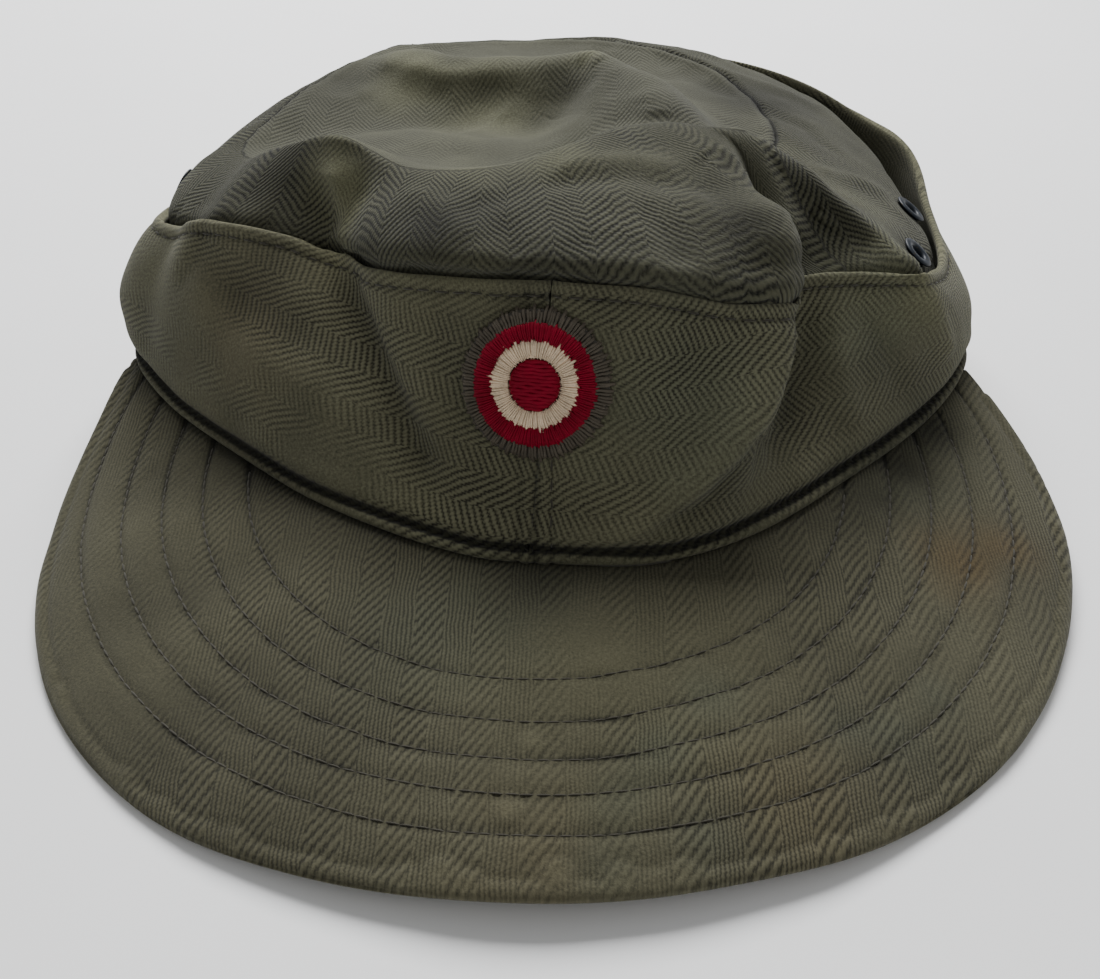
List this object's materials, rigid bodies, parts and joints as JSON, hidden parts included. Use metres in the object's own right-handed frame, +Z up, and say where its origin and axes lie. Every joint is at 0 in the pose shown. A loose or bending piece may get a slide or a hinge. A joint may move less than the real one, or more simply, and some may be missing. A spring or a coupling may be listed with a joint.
{
  "type": "field cap",
  "caption": "Soft cloth field cap with a slack crown, a turned-up band, a stitched peak and a round embroidered cockade, lying on its rim.",
  "frame": {"origin": "middle of the cap's outline on the surface it rests on", "axes": "+Z up out of the crown, -Y towards the front of the peak, +X to the right as seen by someone facing the cap"},
  "size_m": [0.2272, 0.2732, 0.0801],
  "materials": {
    "twill": "washed field-grey herringbone cotton twill",
    "red_thread": "dark red satin-stitch cotton",
    "white_thread": "off-white satin-stitch cotton",
    "border_thread": "grey-brown satin-stitch cotton",
    "eyelet_paint": "worn dark blue-grey paint on pressed metal"
  },
  "bodies": {
    "root": {"band_left": "twill", "band_right": "twill", "crown_side": "twill", "crown_top": "twill", "peak": "twill", "cockade_backing": "border_thread", "cockade_outer_ring": "red_thread", "cockade_middle_ring": "white_thread", "cockade_centre": "red_thread", "eyelet_right_front": "eyelet_paint", "eyelet_right_rear": "eyelet_paint", "eyelet_left_front": "eyelet_paint", "eyelet_left_rear": "eyelet_paint"}
  },
  "joints": []
}
